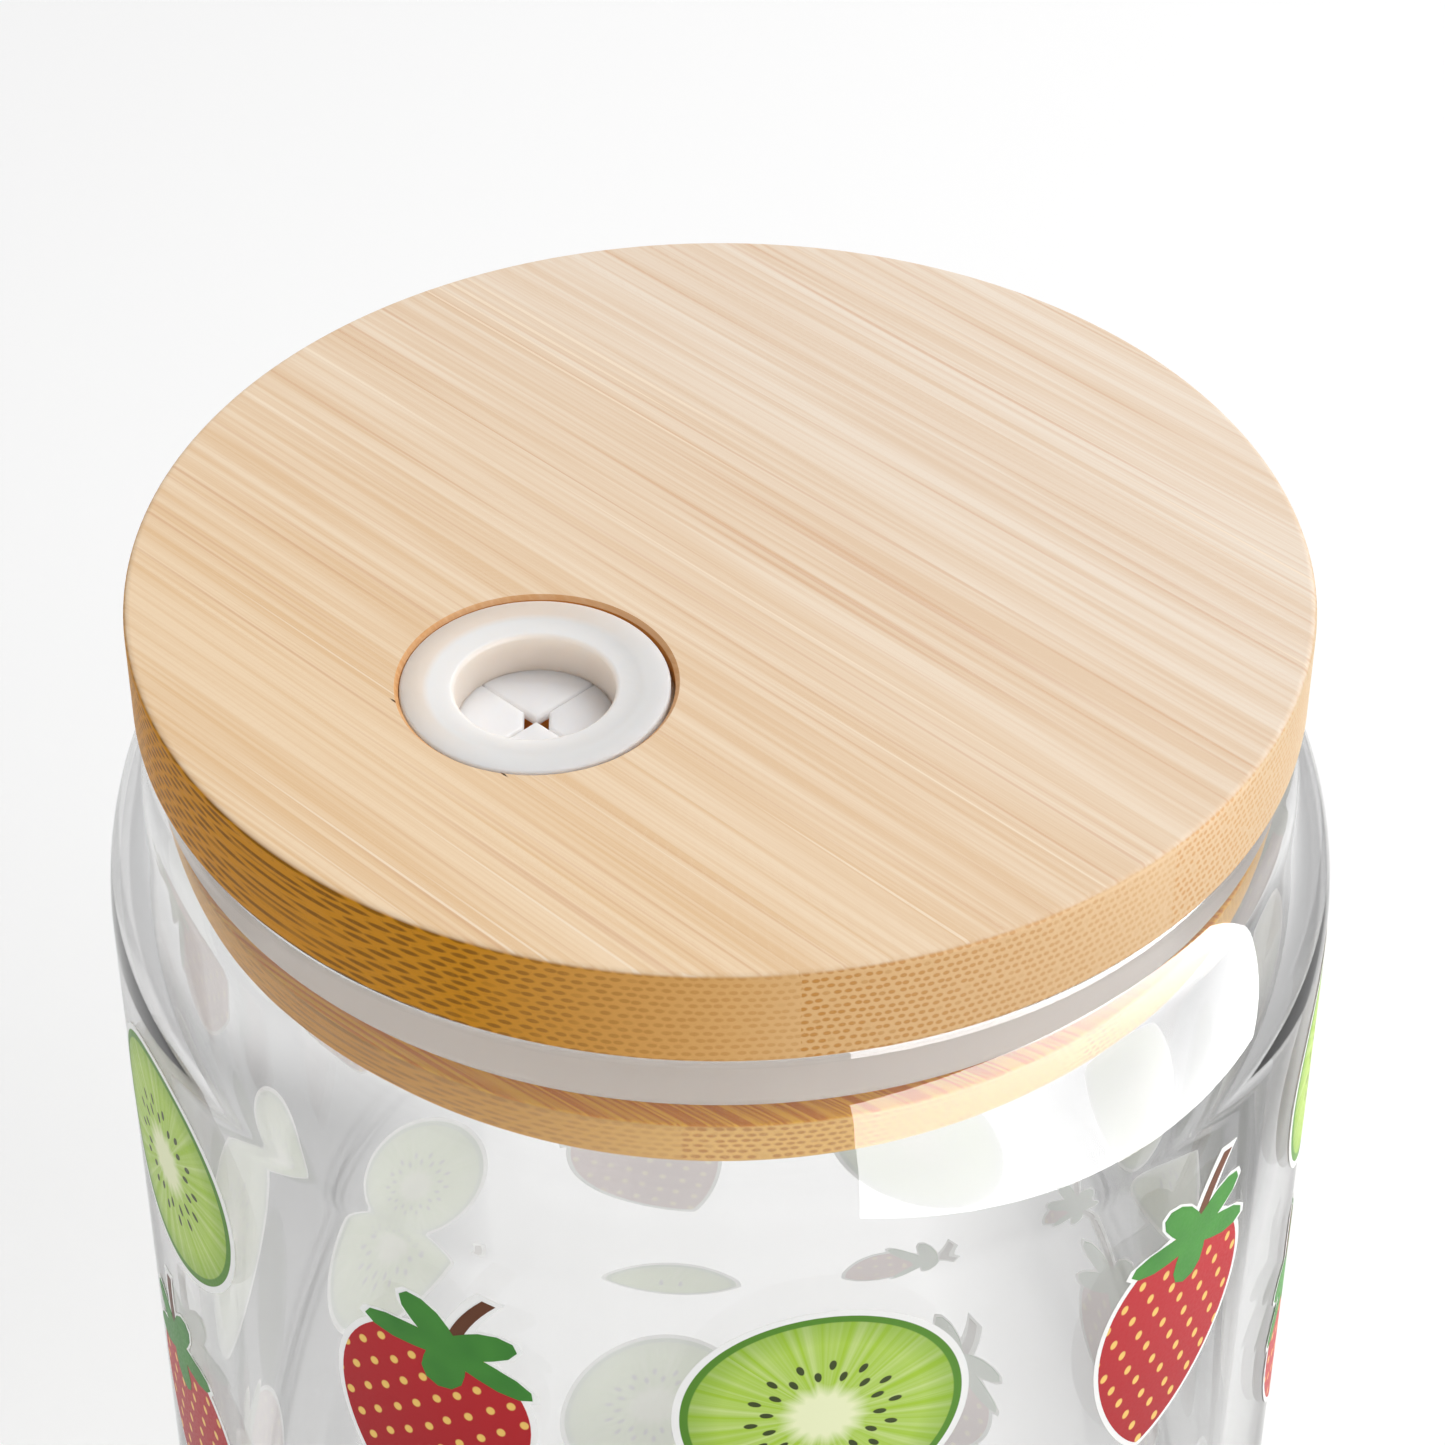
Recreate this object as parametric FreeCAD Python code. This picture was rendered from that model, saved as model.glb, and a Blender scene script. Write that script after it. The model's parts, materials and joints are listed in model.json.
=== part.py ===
"""Can-shaped drinking glass with a turned bamboo lid, a silicone seal ring and a silicone straw port.

Millimetres, +Z up. The origin is the middle of the glass's foot, on the table. The bamboo's grain runs
along X, and the straw port stands off the middle towards -Y.
"""
import FreeCAD, Part
import os
from math import atan2, cos, degrees, radians, sin, sqrt
from FreeCAD import Vector

# Glass body
body_diameter = 75.4
glass_height = 133.0
glass_wall = 2.4
shoulder_inset = 3.5          # from the body's outside to the neck's outside
shoulder_radius = 20.0        # round of the shoulder, outside
neck_fillet = 8.0             # hollow round where the shoulder meets the neck, outside
neck_straight = 1.0           # upright part of the neck, below the rim's round
heel_radius = 11.0            # round of the heel, outside
heel_turn = 60.0              # degrees that the heel's round turns in before the foot
foot_round = 2.0
foot_land = 5.0               # width of the flat ring that stands on the table
punt_depth = 1.8              # rise of the hollow under the foot
floor_thickness = 8.0         # from the table to the floor inside the glass
inner_heel_radius = 8.0

# Bamboo lid: a disc board over a plug board, each glued up from staves
disc_thickness = 6.4
disc_overhang = 0.8           # disc beyond the neck's outside
disc_edge_round = 0.4
rim_gap = 0.2                 # the disc's underside over the rim
flange_thickness = 3.3        # the plug's lower lip
flange_play = 1.1             # from the lip to the mouth, all round
flange_edge_round = 0.3
disc_joint_margin = 0.4       # from the straw's bore to the disc's first glue line
plug_joint_margin = 2.0       # the same in the plug
plug_middle_joint = -2.3      # the plug's middle glue line; the disc's lies on the axis

# Silicone seal ring round the plug's neck
seal_section = 4.2            # from its inside to its outside
seal_height = 6.0
seal_round = 1.2
seal_fit = 0.1                # from the ring to the mouth, pressed in
neck_fit = 0.05               # from the plug's neck to the ring
seal_top_gap = 0.2            # under the disc
seal_to_flange = 2.2          # open groove between the ring and the plug's lip

# Straw port: grommet, its counterbore and the four petals of its cross-cut floor
cup_radius = 4.6
cup_depth = 2.3               # from the cup's rim to the petals
cup_lip_round = 0.5
dish_drop = 0.3               # from the grommet's flange down to the cup's rim
undercut = 0.6                # the chamber under the petals, beyond the cup's wall
sleeve_wall = 1.05
sleeve_skirt = 2.55           # sleeve below the petals
grommet_flange_width = 1.5
grommet_flange_thickness = 1.25
grommet_edge_round = 0.35
port_recess = 0.05            # the grommet's flange below the lid's top
counterbore_play = 0.2        # from the grommet's flange to the counterbore's wall
counterbore_break = 0.25      # edge break at the lid's top
bore_fit = 0.05               # from the sleeve to the bore
port_wall = 6.15              # bamboo left between the bore and the plug's neck
petal_thickness = 0.6
slit_width = 0.3
slit_margin = 0.3             # from a slit's end to the cup's wall
hinge_gap = 0.08              # from a petal's root to the floor that it bends from
petal_corner_relief = 0.8     # cut off a petal's root corners, which lets neighbours fold together
sharp_tip = 0.35              # from the port's axis to the tip of the two long petals
blunt_tip = 0.65              # the same for the two short ones, which leaves a small gap

# Sizes that follow from those above
body_radius = body_diameter / 2
neck_radius = body_radius - shoulder_inset
mouth_radius = neck_radius - glass_wall
lip_radius = glass_wall / 2
shoulder_reach = shoulder_radius + neck_fillet
shoulder_rise = sqrt(shoulder_reach ** 2 - (shoulder_reach - shoulder_inset) ** 2)
shoulder_tilt = degrees(atan2(shoulder_rise, shoulder_reach - shoulder_inset))
neck_z = glass_height - lip_radius - neck_straight
shoulder_z = neck_z - shoulder_rise

disc_radius = neck_radius + disc_overhang
disc_bottom = glass_height + rim_gap
disc_top = disc_bottom + disc_thickness

seal_outer = mouth_radius - seal_fit
seal_inner = seal_outer - seal_section
seal_top = disc_bottom - seal_top_gap
seal_bottom = seal_top - seal_height

plug_neck_radius = seal_inner - neck_fit
flange_radius = mouth_radius - flange_play
flange_top = seal_bottom - seal_to_flange
plug_bottom = flange_top - flange_thickness

chamber_radius = cup_radius + undercut
sleeve_radius = chamber_radius + sleeve_wall
bore_radius = sleeve_radius + bore_fit
grommet_radius = sleeve_radius + grommet_flange_width
counterbore_radius = grommet_radius + counterbore_play
port_y = -(plug_neck_radius - bore_radius - port_wall)
grommet_top = disc_top - port_recess
grommet_shelf = grommet_top - grommet_flange_thickness
cup_rim = grommet_top - dish_drop
petal_top = cup_rim - cup_depth
petal_bottom = petal_top - petal_thickness
sleeve_bottom = petal_bottom - sleeve_skirt
petal_root = (cup_radius - slit_margin) / sqrt(2)   # from the port's axis to the line a petal bends about
port_centre = Vector(0, port_y, 0)


class Section:
    """A closed half section in the XZ plane, drawn from point to point and turned about Z."""

    def __init__(self, r, z):
        self.start = Vector(r, 0, z)
        self.at = self.start
        self.edges = []

    def line(self, r, z):
        """Draw a straight edge, unless the pen is already there."""
        point = Vector(r, 0, z)
        if point.distanceToPoint(self.at) > 1e-6:
            self.edges.append(Part.LineSegment(self.at, point).toShape())
            self.at = point
        return self

    def arc(self, centre_r, centre_z, radius, from_angle, to_angle):
        """Go straight to the arc's first point, then round its centre. Angles are in degrees from +X to +Z."""
        middle, end = [
            Vector(centre_r + radius * cos(radians(angle)), 0, centre_z + radius * sin(radians(angle)))
            for angle in ((from_angle + to_angle) / 2, to_angle)
        ]
        self.line(centre_r + radius * cos(radians(from_angle)), centre_z + radius * sin(radians(from_angle)))
        self.edges.append(Part.Arc(self.at, middle, end).toShape())
        self.at = end
        return self

    def turned(self):
        self.line(self.start.x, self.start.z)
        face = Part.Face(Part.Wire(self.edges))
        return face.revolve(Vector(0, 0, 0), Vector(0, 0, 1), 360)


def glass_body():
    land_inner = body_radius - heel_radius + (heel_radius - foot_round) * cos(radians(heel_turn)) - foot_land
    punt_radius = (land_inner ** 2 + punt_depth ** 2) / (2 * punt_depth)
    punt_edge = degrees(atan2(punt_radius - punt_depth, land_inner))
    heel_r = body_radius - heel_radius
    heel_z = foot_round + (heel_radius - foot_round) * sin(radians(heel_turn))
    shoulder_r = body_radius - shoulder_radius
    fillet_r = neck_radius + neck_fillet
    section = Section(0, punt_depth)
    section.arc(0, punt_depth - punt_radius, punt_radius, 90, punt_edge)
    section.arc(land_inner + foot_land, foot_round, foot_round, -90, -heel_turn)
    section.arc(heel_r, heel_z, heel_radius, -heel_turn, 0)
    section.arc(shoulder_r, shoulder_z, shoulder_radius, 0, shoulder_tilt)
    section.arc(fillet_r, neck_z, neck_fillet, 180 + shoulder_tilt, 180)
    section.arc(mouth_radius + lip_radius, glass_height - lip_radius, lip_radius, 0, 180)
    section.arc(fillet_r, neck_z, neck_fillet + glass_wall, 180, 180 + shoulder_tilt)
    section.arc(shoulder_r, shoulder_z, shoulder_radius - glass_wall, shoulder_tilt, 0)
    section.arc(
        body_radius - glass_wall - inner_heel_radius, floor_thickness + inner_heel_radius,
        inner_heel_radius, 0, -90,
    )
    section.line(0, floor_thickness)
    return section.turned()


def lid_disc():
    edge = disc_radius - disc_edge_round
    section = Section(0, disc_bottom)
    section.arc(edge, disc_bottom + disc_edge_round, disc_edge_round, -90, 0)
    section.arc(edge, disc_top - disc_edge_round, disc_edge_round, 0, 90)
    section.line(0, disc_top)
    return section.turned()


def lid_plug():
    edge = flange_radius - flange_edge_round
    section = Section(0, plug_bottom)
    section.arc(edge, plug_bottom + flange_edge_round, flange_edge_round, -90, 0)
    section.arc(edge, flange_top - flange_edge_round, flange_edge_round, 0, 90)
    section.line(plug_neck_radius, flange_top)
    section.line(plug_neck_radius, disc_bottom)
    section.line(0, disc_bottom)
    return section.turned()


def port_hole():
    """What is bored out of the lid for the straw: a counterbore with a broken edge over a through bore."""
    section = Section(0, plug_bottom - flange_thickness)
    section.line(bore_radius, plug_bottom - flange_thickness)
    section.line(bore_radius, grommet_shelf)
    section.line(counterbore_radius, grommet_shelf)
    section.line(counterbore_radius, disc_top - counterbore_break)
    section.line(counterbore_radius + 2 * counterbore_break, disc_top + counterbore_break)
    section.line(0, disc_top + counterbore_break)
    return section.turned().translated(port_centre)


def staves(board, joint_margin, middle_joint):
    """Cut a bored board at its three glue lines, which run along X, and list the staves from -Y to +Y."""
    box = board.BoundBox
    first_joint = port_y - bore_radius - joint_margin
    last_joint = 2 * middle_joint - first_joint
    limits = [box.YMin, first_joint, middle_joint, last_joint, box.YMax]
    pieces = []
    for low, high in zip(limits, limits[1:]):
        slab = Part.makeBox(box.XLength, high - low, box.ZLength, Vector(box.XMin, low, box.ZMin))
        pieces.append(board.common(slab).Solids[0])
    return pieces


def seal_ring():
    section = Section(seal_inner, seal_bottom)
    section.arc(seal_outer - seal_round, seal_bottom + seal_round, seal_round, -90, 0)
    section.arc(seal_outer - seal_round, seal_top - seal_round, seal_round, 0, 90)
    section.line(seal_inner, seal_top)
    return section.turned()


def straw_grommet():
    """Flanged bush with a cup in its top. The cup's floor has a square window, where the petals sit."""
    rim = cup_radius + cup_lip_round
    flange_edge = grommet_radius - grommet_edge_round
    section = Section(0, petal_bottom)
    section.line(chamber_radius, petal_bottom)
    section.line(chamber_radius, sleeve_bottom)
    section.line(sleeve_radius, sleeve_bottom)
    section.line(sleeve_radius, grommet_shelf)
    section.line(grommet_radius, grommet_shelf)
    section.arc(flange_edge, grommet_top - grommet_edge_round, grommet_edge_round, 0, 90)
    section.line(sleeve_radius, grommet_top)
    section.arc(rim, cup_rim - cup_lip_round, cup_lip_round, 90, 180)
    section.line(cup_radius, petal_top)
    section.line(0, petal_top)
    window = Part.makeBox(2 * petal_root, 2 * petal_root, petal_thickness, Vector(-petal_root, -petal_root, 0))
    window.rotate(Vector(0, 0, 0), Vector(0, 0, 1), 45)
    window.translate(Vector(0, 0, petal_bottom))
    return section.turned().cut(window).translated(port_centre)


def straw_petal(angle, tip):
    """One petal of the cup's floor. Its outline is drawn pointing along +X, then turned to its angle."""
    slit = slit_width / sqrt(2)
    root = petal_root - hinge_gap
    corner = root - petal_corner_relief
    half = [Vector(tip, tip - slit, 0), Vector(corner, corner - slit, 0), Vector(root, corner - slit, 0)]
    other_half = [Vector(point.x, -point.y, 0) for point in reversed(half)]
    outline = Part.makePolygon(half + other_half + half[:1])
    petal = Part.Face(outline).extrude(Vector(0, 0, petal_thickness))
    petal.rotate(Vector(0, 0, 0), Vector(0, 0, 1), angle)
    return petal.translated(port_centre + Vector(0, 0, petal_bottom))


def all_pieces():
    hole = port_hole()
    pieces = {"glass_body": glass_body(), "seal_ring": seal_ring(), "straw_grommet": straw_grommet()}
    for number, stave in enumerate(staves(lid_disc().cut(hole), disc_joint_margin, 0), 1):
        pieces[f"lid_disc_stave_{number}"] = stave
    for number, stave in enumerate(staves(lid_plug().cut(hole), plug_joint_margin, plug_middle_joint), 1):
        pieces[f"lid_plug_stave_{number}"] = stave
    for number, tip in enumerate((blunt_tip, sharp_tip, blunt_tip, sharp_tip), 1):
        pieces[f"straw_petal_{number}"] = straw_petal(90 * number - 45, tip)
    return pieces


os.makedirs("parts", exist_ok=True)
for name, solid in all_pieces().items():
    solid.exportStep(f"parts/{name}.step")
    print(f"{name}: {len(solid.Solids)} solid, {solid.Volume:.1f} mm3, valid {solid.isValid()}")
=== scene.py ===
import json
import math

import bpy
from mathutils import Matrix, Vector


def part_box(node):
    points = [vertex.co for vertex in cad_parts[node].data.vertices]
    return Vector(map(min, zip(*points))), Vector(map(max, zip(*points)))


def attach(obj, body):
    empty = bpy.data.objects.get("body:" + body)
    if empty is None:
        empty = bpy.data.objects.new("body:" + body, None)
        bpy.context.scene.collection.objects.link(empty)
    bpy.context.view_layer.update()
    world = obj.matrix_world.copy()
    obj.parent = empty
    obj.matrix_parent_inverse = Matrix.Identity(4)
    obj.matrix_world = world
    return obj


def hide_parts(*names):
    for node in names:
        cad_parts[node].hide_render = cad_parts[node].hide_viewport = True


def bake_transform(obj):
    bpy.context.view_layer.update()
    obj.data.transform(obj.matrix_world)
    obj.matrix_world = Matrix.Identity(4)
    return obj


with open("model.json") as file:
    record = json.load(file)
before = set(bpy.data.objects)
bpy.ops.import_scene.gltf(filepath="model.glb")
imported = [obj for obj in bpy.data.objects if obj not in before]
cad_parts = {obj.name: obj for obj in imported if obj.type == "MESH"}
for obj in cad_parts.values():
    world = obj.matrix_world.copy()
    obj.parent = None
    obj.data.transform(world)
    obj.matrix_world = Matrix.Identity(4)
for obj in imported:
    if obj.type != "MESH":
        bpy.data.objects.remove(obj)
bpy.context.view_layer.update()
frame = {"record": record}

bl_info = {
    "name": "Lidded drinking glass",
    "version": (1, 0, 0),
    "blender": (4, 5, 0),
    "location": "3D View > Sidebar > Drinking Glass",
    "description": "Builds a can-shaped drinking glass with a bamboo lid and a silicone straw port",
    "category": "Add Mesh",
}

MM = 0.001
MERGE = 0.0005 * MM
SAME_POINT = 0.0001 * MM
WHITE = (1, 1, 1, 1)
GLASS_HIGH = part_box("glass_body")[1]
DISC_LOW, DISC_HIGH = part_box("lid_disc_stave_2")
PLUG_LOW, PLUG_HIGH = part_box("lid_plug_stave_3")
SEAL_LOW, SEAL_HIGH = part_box("seal_ring")
GROMMET_LOW, GROMMET_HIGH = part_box("straw_grommet")
PETAL_LOW, PETAL_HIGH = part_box("straw_petal_1")
CUP = next(mount for mount in frame["record"]["mounts"] if mount["name"] == "straw_cup")
PORT = Vector((CUP["pos_m"][0], CUP["pos_m"][1], 0))
STAVES = (1, 2, 3, 4)
PETALS = (1, 2, 3, 4)


def linear(code):
    """sRGB hex colour as linear red, green, blue and alpha."""
    parts = [int(code[i:i + 2], 16) / 255 for i in (1, 3, 5)]
    return tuple(c / 12.92 if c <= 0.04045 else ((c + 0.055) / 1.055) ** 2.4 for c in parts) + (1.0,)


def length(name, description, metres):
    """A size that a user may change, shown as a distance."""
    return bpy.props.FloatProperty(
        name=name, description=description, default=metres, min=0, precision=5,
        subtype="DISTANCE", unit="LENGTH",
    )


def tint(name, description, code):
    """A colour that a user may change."""
    return bpy.props.FloatVectorProperty(
        name=name, description=description, default=linear(code), size=4, min=0, max=1, subtype="COLOR",
    )


def turn(name, description, degrees):
    """An angle that a user may change."""
    return bpy.props.FloatProperty(
        name=name, description=description, default=math.radians(degrees), subtype="ANGLE", unit="ROTATION",
    )


def amount(name, description, value, most=20.0):
    """A plain number that a user may change."""
    return bpy.props.FloatProperty(name=name, description=description, default=value, min=0, max=most)


class GlassSizes(bpy.types.PropertyGroup):
    """Half section of the blown glass body"""

    body_radius: length("Body radius", "Outside of the upright wall", GLASS_HIGH.x)
    height: length("Height", "From the table to the rim", GLASS_HIGH.z)
    wall: length("Wall", "Thickness of the wall", 2.4 * MM)
    shoulder_inset: length("Shoulder inset", "From the body's outside in to the neck's", 3.5 * MM)
    shoulder_radius: length("Shoulder round", "Round of the shoulder, outside", 20 * MM)
    neck_fillet: length("Neck fillet", "Hollow round from the shoulder to the neck", 8 * MM)
    neck_straight: length("Neck straight", "Upright part of the neck", 1 * MM)
    heel_radius: length("Heel round", "Round of the heel, outside", 11 * MM)
    heel_turn: turn("Heel turn", "How far the heel turns in before the foot", 60)
    foot_round: length("Foot round", "Edge of the standing ring", 2 * MM)
    foot_land: length("Foot land", "Width of the flat ring on the table", 5 * MM)
    punt_depth: length("Punt", "Rise of the hollow under the foot", 1.8 * MM)
    floor: length("Floor", "From the table to the floor inside", 8 * MM)
    inner_heel: length("Inner heel", "Round of the heel, inside", 8 * MM)
    ripple: length("Ripple", "Height of the faint waves that blowing leaves", 0.004 * MM)
    colour: tint("Glass", "Colour of light that passes the wall", "#FDFDFD")


class LidSizes(bpy.types.PropertyGroup):
    """Turned bamboo lid, a disc board over a plug board"""

    disc_radius: length("Disc radius", "Outside of the lid's disc", DISC_HIGH.x)
    disc_edge: length("Disc edge", "Round of the disc's edges", 0.4 * MM)
    flange_radius: length("Lip radius", "Outside of the plug's lower lip", PLUG_HIGH.x)
    flange_thickness: length("Lip thickness", "Height of the plug's lower lip", 3.3 * MM)
    flange_edge: length("Lip edge", "Round of the lip's edges", 0.3 * MM)
    neck_radius: length("Neck radius", "Plug between its lip and the disc", SEAL_HIGH.x - 4.25 * MM)
    bundle_pitch: length("Bundle pitch", "Spacing of the fibre bundles in a row of the disc", 0.48 * MM)
    bundle_row: length("Bundle row", "Spacing of the rows of bundles", 0.5 * MM)
    bundle_width: length("Bundle width", "Width of a fibre bundle along its row", 0.4 * MM)
    bundle_height: length("Bundle height", "Height of a fibre bundle", 0.33 * MM)
    plug_spread: amount("Plug spread", "How much wider the bundles stand in the plug", 1.12)
    streak_width: length("Streak width", "Width of the fine streaks on the faces", 0.25 * MM)
    face_light: tint("Face, light", "Pale streaks of the long-grain faces", "#EDD3B2")
    face_dark: tint("Face, dark", "Dark streaks of the long-grain faces", "#E1BE94")
    face_vein: tint("Face, vein", "Thin brown lines in the faces", "#CFA07A")
    face_pale: tint("Face, pale", "Thin whitish lines in the faces", "#F4E2CB")
    # Far tones: the face tones with a painted sheen, paler and greyer towards the last stave.
    far_sheen_light: tint("Far face, light", "Pale streaks towards the last stave", "#EADBCA")
    far_sheen_dark: tint("Far face, dark", "Dark streaks towards the last stave", "#DFC6AC")
    skin_start: length("Skin start", "How far the darkest bamboo reaches in from the first stave's edge", 2.5 * MM)
    skin_depth: length("Skin depth", "Where the dark bamboo of the first stave ends", 13.3 * MM)
    edge_ground: tint("Edge ground", "Ground between the bundles on cut edges", "#DCB077")
    edge_bundle: tint("Edge bundle", "Fibre bundles on cut edges", "#C0853E")
    # Far edge tones: the edge tones with a painted sheen, paler and greyer towards the last stave.
    far_sheen_ground: tint("Far edge ground", "Ground on cut edges towards the last stave", "#D2BA99")
    far_sheen_bundle: tint("Far edge bundle", "Fibre bundles towards the last stave", "#CA9A66")
    plug_ground: tint("Plug ground", "Ground between the bundles on the plug's edge", "#EFC172")
    plug_bundle: tint("Plug bundle", "Fibre bundles on the plug's edge", "#CE8C42")
    skin_ground: tint("Skin ground", "Ground between the bundles close under the skin", "#C68618")
    skin_bundle: tint("Skin bundle", "Fibre bundles close under the skin", "#643C02")
    # The bore tone is partly the cut wood's colour and partly painted light: a saturated amber that still looks lit
    # where the narrow bore is in shade.
    bore_zone: length("Bore zone", "Distance from the port's axis in which cut walls are amber", 8.3 * MM)
    bore: tint("Bore", "Cut walls of the port", "#D4801A")
    # Ledge tones: brighter and more saturated than the wood, painted light on the plug's lip, which the disc and
    # seal shade.
    ledge_pale_painted_lit: tint("Ledge, light", "Pale streaks on the plug's lip", "#FFC840")
    ledge_dark_painted_lit: tint("Ledge, dark", "Dark streaks on the plug's lip", "#E28A06")


class SealSizes(bpy.types.PropertyGroup):
    """Silicone ring between the plug and the mouth"""

    outer: length("Outer radius", "Outside of the ring", SEAL_HIGH.x)
    section: length("Section", "From the ring's inside to its outside", 4.2 * MM)
    edge: length("Edge round", "Round of the ring's outer edges", 1.2 * MM)
    colour: tint("Silicone", "Colour of the ring", "#CABFB5")


class PortSizes(bpy.types.PropertyGroup):
    """Straw port: grommet, counterbore and petals"""

    cup_radius: length("Cup radius", "Inside of the cup", CUP["dims"]["r_mm"] * MM)
    cup_lip: length("Cup lip", "Round of the cup's upper edge", 0.3 * MM)
    dish_drop: length("Dish", "From the flange down to the cup's edge", 0.12 * MM)
    chamber_radius: length("Chamber radius", "Inside of the sleeve under the petals", 5.2 * MM)
    sleeve_radius: length("Sleeve radius", "Outside of the sleeve", 6.25 * MM)
    flange_radius: length("Flange radius", "Outside of the grommet's flange", GROMMET_HIGH.x)
    flange_thickness: length("Flange thickness", "Height of the grommet's flange", 1.25 * MM)
    flange_edge: length("Flange edge", "Round of the flange's edge", 0.16 * MM)
    bore_radius: length("Bore radius", "Hole through the bamboo", 6.3 * MM)
    counterbore_radius: length("Counterbore radius", "Recess for the flange", 7.9 * MM)
    counterbore_shift: length("Counterbore shift", "How far the recess stands off towards +Y", 0.15 * MM)
    counterbore_break: length("Counterbore break", "Edge break at the lid's top", 0.25 * MM)
    slit: length("Slit", "Width of the cross cut between the petals", 0.04 * MM)
    petal_edge: length("Petal edge", "Round of the petals' upper edges", 0.18 * MM)
    sharp_tip: length("Sharp tip", "From the port's axis to the long petals' tips", 0.1 * MM)
    blunt_tip: length("Blunt tip", "From the port's axis to the short petals' tips", 0.72 * MM)
    hinge: length("Hinge", "From the port's axis to the line that a petal bends about", 3.04 * MM)
    colour: tint("Silicone", "Thick parts of the grommet", "#DFDDDB")
    # Painted light: the wall and petal tones are lighter and warmer than the silicone, for light glowing through it
    # into the cup.
    wall_painted_lit_colour: tint("Wall silicone", "Wall of the cup", "#EADFD5")
    petal_painted_lit_colour: tint("Petal silicone", "Petals on the floor of the cup", "#FAF6F3")
    # The thin tint is the wood seen through the silicone, painted only on the flange's -X side, as light would show
    # it.
    thin_colour: tint("Thin silicone", "Flange, where the bamboo shows through", "#D9C9BA")


class PrintSizes(bpy.types.PropertyGroup):
    """Fruit printed round the glass"""

    columns: bpy.props.IntProperty(name="Columns", description="Motifs round the glass", default=10, min=2)
    rows: bpy.props.IntProperty(name="Rows", description="Motifs from top to bottom", default=4, min=1)
    first_column: turn("First column", "Bearing of the first column", -36.4)
    top_row: length("Top row", "Middle of the highest motifs, over the table", 107.5 * MM)
    row_pitch: length("Row pitch", "From a motif to the next one below", 26 * MM)
    drop: length("Drop", "How much lower every second column starts", 5 * MM)
    slice_radius: length("Slice radius", "Outside of a printed slice", 8.7 * MM)
    berry_width: length("Berry width", "Half the width of a printed berry", 7.4 * MM)
    berry_height: length("Berry height", "Half the height of a printed berry", 8.4 * MM)
    margin: length("Margin", "White ground that shows round the colours", 0.45 * MM)
    ink: length("Ink", "Thickness of one ink layer", 0.015 * MM)
    skin: tint("Skin", "Edge of a slice", "#55872A")
    flesh: tint("Flesh", "Green of a slice", "#A5C93B")
    core: tint("Core", "Pale middle of a slice", "#EDF2C6")
    seed: tint("Seed", "Seeds of a slice", "#3B4620")
    red: tint("Red", "Body of a berry", "#B81E26")
    speck: tint("Speck", "Seeds on a berry", "#F0C66A")
    leaf: tint("Leaf", "Leaves of a berry", "#4B9338")
    stem: tint("Stem", "Stem of a berry", "#6E4027")
    ground: tint("Ground", "White ground under the colours", "#F4F4F2")
    back: tint("Back", "White ground as it is seen from inside the glass", "#F8F8F5")


class StageLook(bpy.types.PropertyGroup):
    """Floor, lamps and camera"""

    floor: tint("Floor", "Pale floor", "#E8E8E8")
    floor_lift: amount("Floor lift", "How much brighter the camera sees the floor", 0.18, 1.0)
    far_lift: amount("Far lift", "How much brighter the floor looks beyond the lamps' reach", 0.6, 1.0)
    glass_lift: amount("Glass lift", "How much brighter mirrors and glass see the floor", 0.06, 1.0)
    ambient: amount("Ambient", "Even light of the room", 0.255)
    key: amount("Key", "Light of the softbox on the right", 2.2)
    gleam: amount("Gleam", "Brightness of the softbox that the glass mirrors", 9.5)
    fill: amount("Fill", "Brightness of the slim softbox on the left", 2.2)
    low: amount("Low", "Light of the softbox that reaches under the lid", 3.3)
    high: amount("High", "Brightness of the small softbox high on the right", 3.0)
    top: amount("Top", "Brightness of the softbox overhead at the back", 4.0)
    # Painted shade: the tint of the dark cards that the glass shows on its sides.
    flag: tint("Flag", "Dark cards beside the strip of floor behind the glass", "#2A2A2C")
    lens: amount("Lens", "Focal length for a 36 mm wide picture, in millimetres", 103.42, 500.0)


def node(tree, kind, inputs=None, **settings):
    """Add a shader node, set its options, and link or set its inputs by name or number."""
    made = tree.nodes.new("ShaderNode" + kind)
    for key, value in settings.items():
        setattr(made, key, value)
    for key, value in (inputs or {}).items():
        if isinstance(value, bpy.types.NodeSocket):
            tree.links.new(value, made.inputs[key])
        else:
            made.inputs[key].default_value = value
    return made


def maths(tree, operation, *values):
    """Result of an operation on numbers."""
    return node(tree, "Math", dict(enumerate(values)), operation=operation).outputs[0]


def ramp(tree, value, start, stop, low=0.0, high=1.0, curve="LINEAR"):
    """Low up to the start, high from the stop on, and a rise between them."""
    inputs = dict(enumerate((value, start, stop, low, high)))
    return node(tree, "MapRange", inputs, interpolation_type=curve).outputs[0]


def mixed(tree, share, first, second):
    """Two colours mixed."""
    return node(tree, "Mix", {"Factor": share, 6: first, 7: second}, data_type="RGBA").outputs["Result"]


def noise(tree, place, size, detail):
    """Cloudy noise with spots of about one size."""
    return node(tree, "TexNoise", {"Vector": place, "Scale": 1 / size, "Detail": detail}).outputs[0]


def grain(tree, place, along, across, detail, shift=0.0):
    """Noise drawn out along X, as wood's grain is."""
    spread = node(tree, "Mapping", {
        0: place, "Location": (shift, 0, 0), "Scale": (1 / along, 1 / across, 1 / across),
    })
    return noise(tree, spread.outputs[0], 1.0, detail)


def split(tree, vector):
    """X, Y and Z of a vector."""
    return node(tree, "SeparateXYZ", {0: vector}).outputs


def joined(tree, *parts):
    """A vector from its X, Y and Z."""
    return node(tree, "CombineXYZ", dict(enumerate(parts))).outputs[0]


def span(tree, vector):
    """Length of a vector."""
    return node(tree, "VectorMath", {0: vector}, operation="LENGTH").outputs["Value"]


def object_place(tree):
    """Where a point lies on its own object."""
    return node(tree, "TexCoord").outputs["Object"]


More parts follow.
